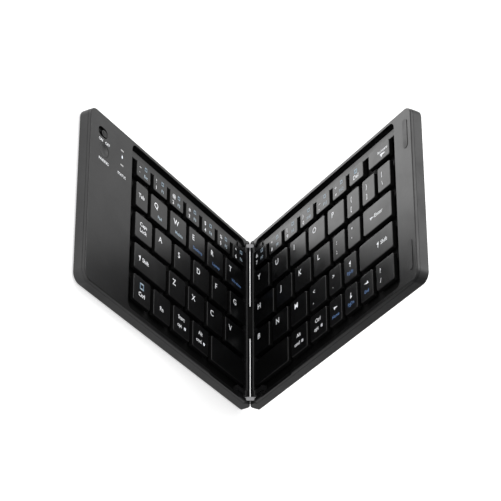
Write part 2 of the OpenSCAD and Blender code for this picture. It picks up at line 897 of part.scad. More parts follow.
left_bottom_case();
left_top_frame();
left_key_plate();
left_membrane();
left_rubber_domes();
left_scissor_frames();
main_board();
battery();
charging_port();
slide_switch();
connect_switch();
indicator_light_pipes();
left_feet();
left_case_screws();
left_hinge_pins();
power_switch_knob();
connect_button();
tab_key();
caps_lock_key();
left_shift_key();
left_ctrl_key();
fn_key();
start_key();
left_alt_key();
left_space_key();
left_number_keys();
left_upper_letter_keys();
left_home_letter_keys();
left_lower_letter_keys();
front_hinge_link();
rear_hinge_link();
center_hinge_cover();
flex_cable();
right_bottom_case();
right_top_frame();
right_key_plate();
right_membrane();
right_rubber_domes();
right_scissor_frames();
right_feet();
right_case_screws();
right_hinge_pins();
face_bumpers();
delete_key();
backspace_key();
enter_key();
right_shift_key();
right_space_key();
right_alt_key();
right_ctrl_key();
arrow_up_key();
arrow_down_key();
arrow_left_key();
arrow_right_key();
slash_key();
right_number_keys();
right_upper_letter_keys();
right_home_letter_keys();
right_lower_letter_keys();
narrow_punctuation_keys();
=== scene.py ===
import json
import math
import bmesh
import bpy
from mathutils import Matrix, Vector


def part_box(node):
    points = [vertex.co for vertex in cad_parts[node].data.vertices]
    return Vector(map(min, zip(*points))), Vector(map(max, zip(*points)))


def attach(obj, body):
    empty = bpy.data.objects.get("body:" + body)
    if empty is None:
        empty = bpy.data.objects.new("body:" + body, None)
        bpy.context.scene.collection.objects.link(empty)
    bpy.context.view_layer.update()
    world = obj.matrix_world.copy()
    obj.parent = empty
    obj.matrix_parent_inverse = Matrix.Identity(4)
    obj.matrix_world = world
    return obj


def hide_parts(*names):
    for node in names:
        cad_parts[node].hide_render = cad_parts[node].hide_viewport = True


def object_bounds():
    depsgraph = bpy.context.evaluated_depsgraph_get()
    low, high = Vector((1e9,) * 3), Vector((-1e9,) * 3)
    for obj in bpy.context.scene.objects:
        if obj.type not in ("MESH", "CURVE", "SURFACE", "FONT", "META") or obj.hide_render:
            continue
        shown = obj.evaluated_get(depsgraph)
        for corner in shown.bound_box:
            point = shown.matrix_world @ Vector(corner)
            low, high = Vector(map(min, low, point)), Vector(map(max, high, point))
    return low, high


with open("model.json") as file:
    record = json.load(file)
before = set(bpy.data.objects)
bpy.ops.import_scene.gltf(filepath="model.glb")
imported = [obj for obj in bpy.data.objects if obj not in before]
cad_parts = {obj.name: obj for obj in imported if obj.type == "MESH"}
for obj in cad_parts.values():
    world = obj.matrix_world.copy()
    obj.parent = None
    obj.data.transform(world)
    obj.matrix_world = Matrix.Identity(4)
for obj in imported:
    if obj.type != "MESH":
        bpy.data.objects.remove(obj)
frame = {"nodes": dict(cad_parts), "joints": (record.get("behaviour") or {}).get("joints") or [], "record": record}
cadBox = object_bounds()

mm = 0.001
tiny = 0.01 * mm  # less than any edge of a cap or step
joints = {joint["name"]: joint for joint in frame["joints"]}
nodes = frame["nodes"]
bodyOf = {}
for bodyName, members in frame["record"]["behaviour"]["bodies"].items():
    for member in members:
        bodyOf[member] = bodyName

# The two pins carry everything: u runs along a half, t to the rear and n out of its face
leftPin = Vector(joints["fold_left"]["pos_m"])
rightPin = Vector(joints["fold_right"]["pos_m"])
halfFold = -joints["fold_left"]["range_deg"][0]


def halfMatrix(pin, fold):
    turn = Matrix.Rotation(math.radians(-fold), 4, "Y")
    return Matrix.Translation(pin) @ turn


halves = {
    "left": halfMatrix(leftPin, 0),
    "right": halfMatrix(rightPin, 2 * halfFold),
}
linkMatrix = halfMatrix((leftPin + rightPin) / 2, halfFold)
print("frame read, half fold", halfFold)

# metres from the middle of the hinge, and degrees, with the links level
camera = {
    "place": Vector((-0.0038, -0.57323, 0.99936)),
    "pitch": 58.369,
    "yaw": 0.3793,
    "roll": 0.3484,
    "lens": 165.99,
    "film": 36,
    "farEnd": 30,
}


def makeCamera(v):
    yaw = math.radians(v["yaw"])
    pitch = math.radians(v["pitch"])
    flat = math.cos(pitch)
    ahead = Vector((math.sin(yaw) * flat, math.cos(yaw) * flat, -math.sin(pitch)))
    side = Vector((math.cos(yaw), -math.sin(yaw), 0))
    look = Matrix((side, side.cross(ahead), -ahead)).transposed().to_4x4()
    roll = Matrix.Rotation(math.radians(v["roll"]), 4, "Z")
    data = bpy.data.cameras.new("camera")
    data.lens = v["lens"]
    data.sensor_width = v["film"]
    data.clip_end = v["farEnd"]
    obj = bpy.data.objects.new("camera", data)
    bpy.context.scene.collection.objects.link(obj)
    obj.matrix_world = linkMatrix @ Matrix.Translation(v["place"]) @ look @ roll
    bpy.context.scene.camera = obj


makeCamera(camera)
print("camera placed")


def newGroup(name, inputs, outputs):
    group = bpy.data.node_groups.new(name, "ShaderNodeTree")
    for label, kind, value in inputs:
        socket = group.interface.new_socket(label, in_out="INPUT", socket_type=kind)
        if value is not None:
            socket.default_value = value
    for label, kind in outputs:
        group.interface.new_socket(label, in_out="OUTPUT", socket_type=kind)
    start = group.nodes.new("NodeGroupInput")
    end = group.nodes.new("NodeGroupOutput")
    return group, start, end


def addNode(tree, kind, **values):
    node = tree.nodes.new(kind)
    for key, value in values.items():
        setattr(node, key, value)
    return node


def setInputs(node, values):
    for key, value in values.items():
        node.inputs[key].default_value = value
    return node


def addRange(tree, value, start, end, low=0, high=1, way="LINEAR"):
    # start and end are where the value becomes low and high
    node = addNode(tree, "ShaderNodeMapRange", interpolation_type=way)
    for socket, number in zip(node.inputs[1:5], (start, end, low, high), strict=True):
        socket.default_value = number
    tree.links.new(value, node.inputs[0])
    return node


grainStyle = {
    "scale": 3200.0,
    "coarse": 0.35,  # share of the wide noise
    "fine": {"Detail": 2.0, "Roughness": 0.6},
    "wide": {"Detail": 3.0, "Roughness": 0.55},
    "wideScale": 0.22,  # times the fine noise's scale
}


def makeGrainGroup(v):
    # spark-eroded mould grain: two sizes of fine noise
    group, start, end = newGroup(
        "mouldGrain",
        [("Vector", "NodeSocketVector", None), ("Scale", "NodeSocketFloat", v["scale"]),
         ("Coarse", "NodeSocketFloat", v["coarse"])],
        [("Height", "NodeSocketFloat"), ("Speckle", "NodeSocketFloat")])
    fine = setInputs(addNode(group, "ShaderNodeTexNoise"), v["fine"])
    wide = setInputs(addNode(group, "ShaderNodeTexNoise"), v["wide"])
    widen = addNode(group, "ShaderNodeMath", operation="MULTIPLY")
    widen.inputs[1].default_value = v["wideScale"]
    mixer = addNode(group, "ShaderNodeMix", data_type="FLOAT")
    links = group.links
    links.new(start.outputs["Vector"], fine.inputs["Vector"])
    links.new(start.outputs["Vector"], wide.inputs["Vector"])
    links.new(start.outputs["Scale"], fine.inputs["Scale"])
    links.new(start.outputs["Scale"], widen.inputs[0])
    links.new(widen.outputs[0], wide.inputs["Scale"])
    links.new(start.outputs["Coarse"], mixer.inputs[0])
    links.new(fine.outputs[0], mixer.inputs[2])  # sockets 2 and 3 are what is mixed
    links.new(wide.outputs[0], mixer.inputs[3])
    links.new(mixer.outputs[0], end.inputs["Height"])
    links.new(wide.outputs[0], end.inputs["Speckle"])
    return group


handlingStyle = {
    "size": 60.0,
    "rough": (0.3, 0.4),
    "patch": {"Detail": 4.0, "Roughness": 0.62, "Distortion": 0.4},
    "reach": (0.35, 0.68),  # of the noise, from smooth to rough
}


def makeHandlingGroup(v):
    # faint polish and dust left by hands, in soft patches
    low, high = v["rough"]
    group, start, end = newGroup(
        "handling",
        [("Vector", "NodeSocketVector", None), ("Size", "NodeSocketFloat", v["size"]),
         ("Low", "NodeSocketFloat", low), ("High", "NodeSocketFloat", high)],
        [("Roughness", "NodeSocketFloat")])
    patch = setInputs(addNode(group, "ShaderNodeTexNoise"), v["patch"])
    spread = addRange(group, patch.outputs[0], *v["reach"])
    links = group.links
    links.new(start.outputs["Vector"], patch.inputs["Vector"])
    links.new(start.outputs["Size"], patch.inputs["Scale"])
    links.new(start.outputs["Low"], spread.inputs[3])  # sockets 3 and 4 are low and high
    links.new(start.outputs["High"], spread.inputs[4])
    links.new(spread.outputs[0], end.inputs["Roughness"])
    return group


grainGroup = makeGrainGroup(grainStyle)
handlingGroup = makeHandlingGroup(handlingStyle)


def newMaterial(name):
    material = bpy.data.materials.new(name)
    material.use_nodes = True
    tree = material.node_tree
    coords = addNode(tree, "ShaderNodeTexCoord")
    return material, tree, tree.nodes["Principled BSDF"], coords.outputs["Object"]


def placeGroup(tree, group, vector, **values):
    node = addNode(tree, "ShaderNodeGroup", node_tree=group)
    tree.links.new(vector, node.inputs["Vector"])
    return setInputs(node, values)


def addBump(tree, height, shader, strength, distance):
    bump = setInputs(addNode(tree, "ShaderNodeBump"), {"Strength": strength, "Distance": distance})
    tree.links.new(height, bump.inputs["Height"])
    tree.links.new(bump.outputs[0], shader.inputs["Normal"])


toneReach = (0.3, 0.7)  # of the speckle, from the dark tone to the light one


def tint(tree, speckle, dark, light):
    # colour that drifts between two close tones
    spread = addRange(tree, speckle, *toneReach)
    mixer = addNode(tree, "ShaderNodeMix", data_type="RGBA")
    mixer.inputs[6].default_value = (*dark, 1)  # sockets 6 and 7 are the two colours
    mixer.inputs[7].default_value = (*light, 1)
    tree.links.new(spread.outputs[0], mixer.inputs[0])
    return mixer.outputs[2]


def addSurface(tree, shader, vector, grain, v):
    # what plastics and metals share: patchy roughness, drifting tone and fine bump
    low, high = v["rough"]
    hands = placeGroup(tree, handlingGroup, vector, Size=v["patch"], Low=low, High=high)
    tree.links.new(hands.outputs["Roughness"], shader.inputs["Roughness"])
    tone = tint(tree, grain.outputs["Speckle"], v["dark"], v["light"])
    tree.links.new(tone, shader.inputs["Base Color"])
    addBump(tree, grain.outputs["Height"], shader, v["bump"], v["depth"])


def mouldedPlastic(name, v):
    material, tree, shader, vector = newMaterial(name)
    grain = placeGroup(tree, grainGroup, vector, Scale=v["grain"], Coarse=v["coarse"])
    addSurface(tree, shader, vector, grain, v)
    shader.inputs["IOR"].default_value = v["ior"]
    # painted light: print given a glow shines faintly by itself, so it reads brighter than the lamps make it
    if "glow" in v:
        colour, strength = v["glow"]
        shader.inputs["Emission Color"].default_value = (*colour, 1)
        shader.inputs["Emission Strength"].default_value = strength
    return material


def metal(name, v):
    # brushed or plated metal, streaked along one way
    material, tree, shader, vector = newMaterial(name)
    mapping = addNode(tree, "ShaderNodeMapping")
    mapping.inputs["Scale"].default_value = v["stretch"]
    tree.links.new(vector, mapping.inputs["Vector"])
    vectorAlong = mapping.outputs[0]
    streaks = placeGroup(tree, grainGroup, vectorAlong, Scale=v["grain"], Coarse=v["coarse"])
    addSurface(tree, shader, vector, streaks, v)
    shader.inputs["Metallic"].default_value = v["metallic"]
    return material


# grain and patch are noise scales, depth is the height of the bump in metres
plastics = {
    "casePlastic": {
        "grain": 2600, "coarse": 0.4, "patch": 45, "rough": (0.4, 0.5), "bump": 0.35,
        "depth": 0.00003, "dark": (0.009, 0.009, 0.0095), "light": (0.013, 0.013, 0.0137),
        "ior": 1.5},
    "framePlastic": {
        "grain": 3000, "coarse": 0.35, "patch": 50, "rough": (0.33, 0.42), "bump": 0.28,
        "depth": 0.00003, "dark": (0.004, 0.004, 0.0043), "light": (0.007, 0.007, 0.0075),
        "ior": 1.5},
    "capPlastic": {
        "grain": 3600, "coarse": 0.3, "patch": 90, "rough": (0.28, 0.38), "bump": 0.2,
        "depth": 0.00002, "dark": (0.003, 0.003, 0.0033), "light": (0.005, 0.005, 0.0055),
        "ior": 1.5},
    # painted shade: the cap sides get a darker, rougher, weakly reflecting copy of the cap plastic, so they read
    # as shaded
    "capSidePaintedShade": {
        "grain": 2400, "coarse": 0.4, "patch": 90, "rough": (0.55, 0.65), "bump": 0.25,
        "depth": 0.00003, "dark": (0.001, 0.001, 0.001), "light": (0.002, 0.002, 0.002),
        "ior": 1.25},
    "coverPlastic": {
        "grain": 3000, "coarse": 0.4, "patch": 120, "rough": (0.6, 0.7), "bump": 0.3,
        "depth": 0.00003, "dark": (0.003, 0.003, 0.003), "light": (0.005, 0.005, 0.005),
        "ior": 1.22},
    "footRubber": {
        "grain": 1800, "coarse": 0.6, "patch": 150, "rough": (0.6, 0.78), "bump": 0.5,
        "depth": 0.00005, "dark": (0.012, 0.012, 0.012), "light": (0.022, 0.022, 0.022),
        "ior": 1.42},
    "bumperRubber": {
        "grain": 2200, "coarse": 0.5, "patch": 150, "rough": (0.42, 0.55), "bump": 0.35,
        "depth": 0.00004, "dark": (0.009, 0.009, 0.0095), "light": (0.014, 0.014, 0.0147),
        "ior": 1.48},
    "domeRubber": {
        "grain": 1500, "coarse": 0.5, "patch": 120, "rough": (0.5, 0.62), "bump": 0.2,
        "depth": 0.00004, "dark": (0.6, 0.6, 0.57), "light": (0.7, 0.7, 0.67), "ior": 1.42},
    "scissorPlastic": {
        "grain": 2600, "coarse": 0.4, "patch": 120, "rough": (0.4, 0.5), "bump": 0.2,
        "depth": 0.00003, "dark": (0.02, 0.02, 0.02), "light": (0.03, 0.03, 0.03),
        "ior": 1.48},
    # the key plate's black paint, made darker still as painted shade for the shadowed gaps between the caps
    "platePaintAndShade": {
        "grain": 2200, "coarse": 0.5, "patch": 60, "rough": (0.5, 0.62), "bump": 0.4,
        "depth": 0.00003, "dark": (0.002, 0.002, 0.002), "light": (0.004, 0.004, 0.004),
        "ior": 1.3},
    "membraneFilm": {
        "grain": 900, "coarse": 0.6, "patch": 80, "rough": (0.25, 0.4), "bump": 0.1,
        "depth": 0.00002, "dark": (0.5, 0.47, 0.34), "light": (0.6, 0.57, 0.42), "ior": 1.5},
    "boardMask": {
        "grain": 1200, "coarse": 0.6, "patch": 90, "rough": (0.25, 0.35), "bump": 0.2,
        "depth": 0.00003, "dark": (0.01, 0.1, 0.04), "light": (0.015, 0.15, 0.06), "ior": 1.5},
    "switchPlastic": {
        "grain": 2000, "coarse": 0.4, "patch": 150, "rough": (0.4, 0.5), "bump": 0.25,
        "depth": 0.00003, "dark": (0.02, 0.02, 0.02), "light": (0.03, 0.03, 0.03), "ior": 1.5},
    "flexFilm": {
        "grain": 900, "coarse": 0.5, "patch": 150, "rough": (0.3, 0.4), "bump": 0.1,
        "depth": 0.00002, "dark": (0.35, 0.14, 0.03), "light": (0.45, 0.2, 0.05), "ior": 1.5},
    "windowPlastic": {
        "grain": 1500, "coarse": 0.5, "patch": 200, "rough": (0.3, 0.42), "bump": 0.1,
        "depth": 0.00002, "dark": (0.5, 0.5, 0.5), "light": (0.62, 0.62, 0.62), "ior": 1.5},
    # the inks' glow is painted light that brightens the print
    "whiteInk": {
        "grain": 2600, "coarse": 0.5, "patch": 150, "rough": (0.5, 0.62), "bump": 0.15,
        "depth": 0.00001, "dark": (0.8, 0.81, 0.83), "light": (0.9, 0.91, 0.93), "ior": 1.45,
        "glow": ((0.95, 0.97, 1.0), 0.35)},
    "paleInk": {
        "grain": 2600, "coarse": 0.5, "patch": 150, "rough": (0.5, 0.62), "bump": 0.15,
        "depth": 0.00001, "dark": (0.4, 0.5, 0.57), "light": (0.48, 0.58, 0.65), "ior": 1.45,
        "glow": ((0.52, 0.62, 0.7), 0.2)},
    "blueInk": {
        "grain": 2600, "coarse": 0.5, "patch": 150, "rough": (0.5, 0.62), "bump": 0.15,
        "depth": 0.00001, "dark": (0.1, 0.19, 0.38), "light": (0.13, 0.23, 0.45), "ior": 1.45,
        "glow": ((0.2, 0.36, 0.72), 0.14)},
}
metals = {
    "linkMetal": {
        "stretch": (1, 12, 1), "grain": 1500, "coarse": 0.5, "patch": 120,
        "rough": (0.32, 0.45), "bump": 0.25, "depth": 0.00003, "dark": (0.34, 0.34, 0.35),
        "light": (0.42, 0.42, 0.43), "metallic": 1.0},
    "brightSteel": {
        "stretch": (1, 1, 14), "grain": 1600, "coarse": 0.5, "patch": 150,
        "rough": (0.22, 0.34), "bump": 0.2, "depth": 0.00002, "dark": (0.5, 0.5, 0.51),
        "light": (0.62, 0.62, 0.63), "metallic": 1.0},
    "screwSteel": {
        "stretch": (1, 1, 1), "grain": 1600, "coarse": 0.5, "patch": 150, "rough": (0.38, 0.5),
        "bump": 0.25, "depth": 0.00002, "dark": (0.09, 0.09, 0.095),
        "light": (0.13, 0.13, 0.135), "metallic": 0.9},
    "cellFoil": {
        "stretch": (1, 1, 1), "grain": 500, "coarse": 0.5, "patch": 80, "rough": (0.28, 0.42),
        "bump": 0.5, "depth": 0.00008, "dark": (0.55, 0.56, 0.6), "light": (0.68, 0.69, 0.73),
        "metallic": 0.9},
}
materials = {name: mouldedPlastic(name, v) for name, v in plastics.items()}
materials.update({name: metal(name, v) for name, v in metals.items()})

nodeFinish = {
    "casePlastic": ["left_bottom_case", "right_bottom_case"],
    "framePlastic": ["left_top_frame", "right_top_frame", "power_switch_knob", "connect_button"],
    "platePaintAndShade": ["left_key_plate", "right_key_plate"],
    "membraneFilm": ["left_membrane", "right_membrane"],
    "domeRubber": ["left_rubber_domes", "right_rubber_domes"],
    "scissorPlastic": ["left_scissor_frames", "right_scissor_frames"],
    "boardMask": ["main_board"],
    "cellFoil": ["battery"],
    "brightSteel": ["charging_port", "left_hinge_pins", "right_hinge_pins"],
    "screwSteel": ["left_case_screws", "right_case_screws"],
    "switchPlastic": ["slide_switch", "connect_switch"],
    "windowPlastic": ["indicator_light_pipes"],
    "footRubber": ["left_feet", "right_feet"],
    "bumperRubber": ["face_bumpers"],
    "linkMetal": ["front_hinge_link", "rear_hinge_link"],
    "coverPlastic": ["center_hinge_cover"],
    "flexFilm": ["flex_cable"],
}
keyNodes = [name for name in nodes if name.endswith(("_key", "_keys"))]
for finish, names in [*nodeFinish.items(), ("capPlastic", keyNodes)]:
    for name in names:
        slots = nodes[name].data.materials
        slots.clear()
        slots.append(materials[finish])
print("materials ready", len(materials))


def finishPiece(bm, name, body, material):
    mesh = bpy.data.meshes.new(name)
    bm.to_mesh(mesh)
    bm.free()
    mesh.materials.append(materials[material])
    obj = bpy.data.objects.new(name, mesh)
    bpy.context.scene.collection.objects.link(obj)
    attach(obj, body)
    return obj


def addBox(bm, low, high):
    made = bmesh.ops.create_cube(bm, size=1)["verts"]
    bmesh.ops.scale(bm, vec=high - low, verts=made)
    bmesh.ops.translate(bm, vec=(low + high) / 2, verts=made)


def bevelEdges(bm, edges, offset, steps):
    bmesh.ops.bevel(bm, geom=edges, offset=offset, offset_type="OFFSET", segments=steps,
                    profile=0.5, affect="EDGES", material=-1)


def rise(edge):
    return abs(edge.verts[0].co.z - edge.verts[1].co.z)


def topEdges(bm, top):
    return [edge for edge in bm.edges if min(vert.co.z for vert in edge.verts) > top - tiny]


leftCapTop = 4 * mm  # every cap of the left half ends below this height over its pin


def halfOf(name):
    return "left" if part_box(name)[1].z < leftPin.z + leftCapTop else "right"


def capBoxes(name, half):
    # the box of each cap in a node, in the half's own u, t and n, rear row first and then by u
    bm = bmesh.new()
    bm.from_mesh(nodes[name].data)
    bmesh.ops.remove_doubles(bm, verts=bm.verts, dist=tiny)
    bmesh.ops.transform(bm, matrix=halves[half].inverted(), verts=bm.verts)
    boxes = []
    seen = set()
    for vert in bm.verts:
        if vert in seen:
            continue
        island = {vert}
        waiting = [vert]
        while waiting:
            for edge in waiting.pop().link_edges:
                for other in edge.verts:
                    if other not in island:
                        island.add(other)
                        waiting.append(other)
        seen |= island
        low = Vector([min(p.co[i] for p in island) for i in range(3)])
        high = Vector([max(p.co[i] for p in island) for i in range(3)])
        boxes.append((low, high))
    bm.free()
    return sorted(boxes, key=lambda box: (-round(box[1].y, 4), box[0].x))


capStyle = {
    "flare": 0.35 * mm,
    "corner": 1.0 * mm,
    "cornerSteps": 4,
    "edge": 0.25 * mm,
    "edgeSteps": 3,
    "wall": 1.15 * mm,  # at the foot of the skirt
    "top": 0.75 * mm,
    "plunger": (1.3 * mm, 0.35 * mm),  # radius and height of the post under the top
    "plungerSteps": 16,
    "sunk": 0.1 * mm,  # how far the post runs into the top
    "upward": 0.4,  # a face that looks up more than this has the top's finish; the rest take the darker side material, which is painted shade
}


def addCap(bm, low, high, v):
    part = bmesh.new()
    addBox(part, low, high)
    middle = (low + high) / 2
    tall = high.z - low.z
    for vert in part.verts:
        if vert.co.z > middle.z:
            vert.co.x -= math.copysign(v["flare"], vert.co.x - middle.x)
            vert.co.y -= math.copysign(v["flare"], vert.co.y - middle.y)
    upright = [edge for edge in part.edges if rise(edge) > tall / 2]
    bevelEdges(part, upright, v["corner"], v["cornerSteps"])
    bevelEdges(part, topEdges(part, high.z), v["edge"], v["edgeSteps"])
    part.normal_update()
    foot = [face for face in part.faces if face.normal.z < -0.9]  # looks straight down
    bmesh.ops.inset_region(part, faces=foot, thickness=v["wall"], use_even_offset=True)
    roof = bmesh.ops.extrude_discrete_faces(part, faces=foot)["faces"]
    inside = list({vert for face in roof for vert in face.verts})
    bmesh.ops.translate(part, vec=(0, 0, tall - v["top"]), verts=inside)
    radius, height = v["plunger"]
    post = bmesh.ops.create_cone(part, cap_ends=True, segments=v["plungerSteps"], radius1=radius,
                                 radius2=radius, depth=height + v["sunk"])["verts"]
    postMiddle = high.z - v["top"] - height / 2 + v["sunk"] / 2
    bmesh.ops.translate(part, vec=(middle.x, middle.y, postMiddle), verts=post)
    part.normal_update()
    # side and inner faces take slot 1, the darker material that paints shade on the cap sides
    for face in part.faces:
        onTop = face.normal.z > v["upward"] and face.calc_center_median().z > middle.z
        face.material_index = 0 if onTop else 1
    copy = bpy.data.meshes.new("cap")
    part.to_mesh(copy)
    part.free()
    bm.from_mesh(copy)
    bpy.data.meshes.remove(copy)


caps = {}
for name in keyNodes:
    half = halfOf(name)
    boxes = capBoxes(name, half)
    caps[name] = (half, boxes)
    bm = bmesh.new()
    for low, high in boxes:
        addCap(bm, low, high, capStyle)
    bmesh.ops.transform(bm, matrix=halves[half], verts=bm.verts)
    bmesh.ops.recalc_face_normals(bm, faces=bm.faces)
    piece = finishPiece(bm, name + "_caps", bodyOf[name], "capPlastic")
    piece.data.materials.append(materials["capSidePaintedShade"])
    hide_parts(name)
print("caps made", sum(len(boxes) for half, boxes in caps.values()))

# the step that runs along the rear of each key well, behind the number caps
shelfStyle = {
    "depth": 1.6 * mm,  # below the face
    "wellDepth": 3.5 * mm,
    "rear": 42.6 * mm,
    "gap": 0.25 * mm,
    "reach": {"left": (-107.25 * mm, -9.2 * mm), "right": (9.2 * mm, 128.35 * mm)},
    "edge": 0.12 * mm,
    "edgeSteps": 2,
}


def addShelf(half, v):
    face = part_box("left_top_frame")[1].z - leftPin.z
    front = max(high.y for low, high in caps[half + "_number_keys"][1]) + v["gap"]
    start, end = v["reach"][half]
    low = Vector((start, front, face - v["wellDepth"]))
    high = Vector((end, v["rear"], face - v["depth"]))
    bm = bmesh.new()
    addBox(bm, low, high)
    bevelEdges(bm, topEdges(bm, high.z), v["edge"], v["edgeSteps"])
    bmesh.ops.transform(bm, matrix=halves[half], verts=bm.verts)
    finishPiece(bm, half + "_rear_shelf", half + "_half", "framePlastic")


for half in halves:
    addShelf(half, shelfStyle)
print("rear shelves made")

inkStyle = {
    "thick": 0.016 * mm,
    "lift": 0.012 * mm,  # of the middle of the ink over the surface
    "capital": 0.7,  # height of a capital, for a letter size of 1
    "bold": 0.008,  # for a letter height of 1
    "curveSteps": 3,
    "barEnd": 0.45,  # how round a bar's ends are, for a width of 1
    "barSteps": 3,
}


def textMesh(words, height, v):
    curve = bpy.data.curves.new("mark", "FONT")
    curve.body = words
    curve.size = height / v["capital"]
    curve.resolution_u = v["curveSteps"]
    curve.offset = v["bold"] * height
    curve.extrude = v["thick"] / 2
    curve.align_x = "LEFT"
    obj = bpy.data.objects.new("mark", curve)
    bpy.context.scene.collection.objects.link(obj)
    bpy.context.view_layer.update()
    ready = obj.evaluated_get(bpy.context.evaluated_depsgraph_get())
    mesh = bpy.data.meshes.new_from_object(ready)
    bpy.data.objects.remove(obj)
    bpy.data.curves.remove(curve)
    return mesh


def addWords(bm, words, place, height, centred=False):
    # place is the lower left corner of the words, or their lower middle
    mesh = textMesh(words, height, inkStyle)
    across = [vert.co.x for vert in mesh.vertices]
    start = (min(across) + max(across)) / 2 if centred else min(across)
    mesh.transform(Matrix.Translation(place - Vector((start, 0, 0))))
    bm.from_mesh(mesh)
    bpy.data.meshes.remove(mesh)


def addBar(bm, middle, length, width):
    # a short printed bar with round ends
    made = bmesh.ops.create_cube(bm, size=1)["verts"]
    bmesh.ops.scale(bm, vec=(length, width, inkStyle["thick"]), verts=made)
    edges = dict.fromkeys(edge for vert in made for edge in vert.link_edges)
    ends = [edge for edge in edges if rise(edge) > inkStyle["thick"] / 2]
    bmesh.ops.translate(bm, vec=middle, verts=made)
    bevelEdges(bm, ends, width * inkStyle["barEnd"], inkStyle["barSteps"])


def addFrame(bm, middle, size, line):
    # a small outlined square
    for side in (-1, 1):
        addBar(bm, middle + Vector((side * size / 2, 0, 0)), line, size + line)
        addBar(bm, middle + Vector((0, side * size / 2, 0)), size, line)


# for an arrow of size 1 that points along u
arrowStyle = {
    "head": 0.42,
    "headPlace": 0.3,
    "shaft": (0.7, 0.16),
    "shaftPlace": -0.2,
}


def addArrow(bm, middle, size, turn, v=arrowStyle):
    radius = size * v["head"]
    head = bmesh.ops.create_cone(bm, cap_ends=True, segments=3, radius1=radius, radius2=radius,
                                 depth=inkStyle["thick"])["verts"]
    bmesh.ops.translate(bm, vec=(size * v["headPlace"], 0, 0), verts=head)
    length, width = v["shaft"]
    shaft = bmesh.ops.create_cube(bm, size=1)["verts"]
    bmesh.ops.scale(bm, vec=(size * length, size * width, inkStyle["thick"]), verts=shaft)
    bmesh.ops.translate(bm, vec=(size * v["shaftPlace"], 0, 0), verts=shaft)
    around = Matrix.Rotation(math.radians(turn), 3, "Z")
    bmesh.ops.rotate(bm, cent=(0, 0, 0), matrix=around, verts=head + shaft)
    bmesh.ops.translate(bm, vec=middle, verts=head + shaft)


# places are in millimetres from the middle of the cap's top, or from the side that is named
markStyle = {
    "letterHeight": 3.0 * mm,
    "wordHeight": 2.25 * mm,
    "digitHeight": 2.0 * mm,
    "signHeight": 2.3 * mm,
    "smallHeight": 1.7 * mm,
    "number": {"fromLeft": 2.0, "upper": 0.7, "lower": -3.1, "below": (1.9, -2.5),
               "frame": (1.8, 2.5), "frameSize": 1.6, "line": 0.35},
    "letter": {"fromLeft": {"left": 2.8, "right": 3.5}, "fromRear": {"left": 3.1, "right": 2.5},
               "below": (0.6, -4.2)},
    "word": {"u": -0.4},
    "two": {"upper": (-0.3, 0.9), "lower": (-0.3, -2.4), "share": 0.92},
    "signed": {"upper": (-0.3, 1.7), "upperShare": 0.9, "lower": (-1.7, -2.6), "lowerShare": 0.85,
               "frame": (2.9, -1.8), "frameSize": 1.0, "line": 0.3},
    # the frame's place and size, and the first part of the word's, are for a cap 1 deep
    "framed": {"u": -0.3, "frame": 0.19, "frameSize": 0.2, "line": 0.6, "word": (-0.12, -1.4)},
    "back": {"fromRight": -5.4, "word": 0.2, "share": 0.8, "arrow": -1.4, "arrowSize": 3.4},
    "pair": {"fromLeft": 3.0, "upper": 1.4, "lower": -3.8},
    "arrowWord": {"arrow": (-2.6, 0), "arrowSize": 2.6, "word": (-0.4, -0.9), "share": 1.25},
    "arrow": {"arrow": (0, 1.7), "arrowSize": 2.6, "below": (0, -3.4)},
}
# what each key carries, cap by cap: the kind, and then its words, turn and place
keyMarks = {
    "left_number_keys": [("number", "~", "`", "Esc")] + [
        ("number", sign, digit, "F" + digit)
        for sign, digit in zip("!@#$%^", "123456", strict=True)],
    "right_number_keys": [
        ("number", "&", "7", "F7"), ("number", "*", "8", "F8"), ("number", "(", "9", "F9"),
        ("number", ")", "0", "F10"), ("number", "_", "-", "F11"), ("number", "+", "=", "F12")],
    "delete_key": [("framed", "Del")],
    "backspace_key": [("back", "Backspace")],
    "tab_key": [("word", "Tab", -0.9)],
    "left_upper_letter_keys": [
        ("letter", "Q", "Pad", "pale"), ("letter", "W", "Mobile", "pale"),
        ("letter", "E", "Desktop", "blue"), ("letter", "R", "Laptop", "blue"),
        ("letter", "T", "Wireless", "blue")],
    "right_upper_letter_keys": [("letter", c, "", "") for c in "YUIOP"],
    "caps_lock_key": [("two", "Caps", "Lock")],
    "left_home_letter_keys": [("letter", c, "", "") for c in "ASDFG"],
    "right_home_letter_keys": [("letter", c, "", "") for c in "HJKL"],
    "left_shift_key": [("arrowWord", 90, "Shift", 0.26)],
    "left_lower_letter_keys": [("letter", c, "", "") for c in "ZXCV"],
    "right_lower_letter_keys": [("letter", c, "", "") for c in "BNM"] + [("pair", "<", ",")],
    "narrow_punctuation_keys": [
        ("pair", "{", "["), ("pair", "}", "]"), ("pair", "|", "\\"),
        ("pair", ":", ";"), ("pair", "\"", "'"), ("pair", ">", ".")],
    "enter_key": [("arrowWord", 180, "Enter", 0.42)],
    "right_shift_key": [("arrowWord", 90, "Shift", 0.66)],
    "left_ctrl_key": [("framed", "Ctrl")],
    "fn_key": [("word", "Fn", -2.1)],
    "start_key": [("signed", "Start", "opt")],
    "left_alt_key": [("signed", "Alt", "cmd")],
    "right_alt_key": [("signed", "Alt", "cmd")],
    "right_ctrl_key": [("signed", "Ctrl", "opt")],
    "arrow_up_key": [("arrow", 90, "PgUp")],
    "arrow_left_key": [("arrow", 180, "Home")],
    "arrow_down_key": [("arrow", 270, "PgDn")],
    "arrow_right_key": [("arrow", 0, "End")],
    "slash_key": [("pair", "?", "/")],
}


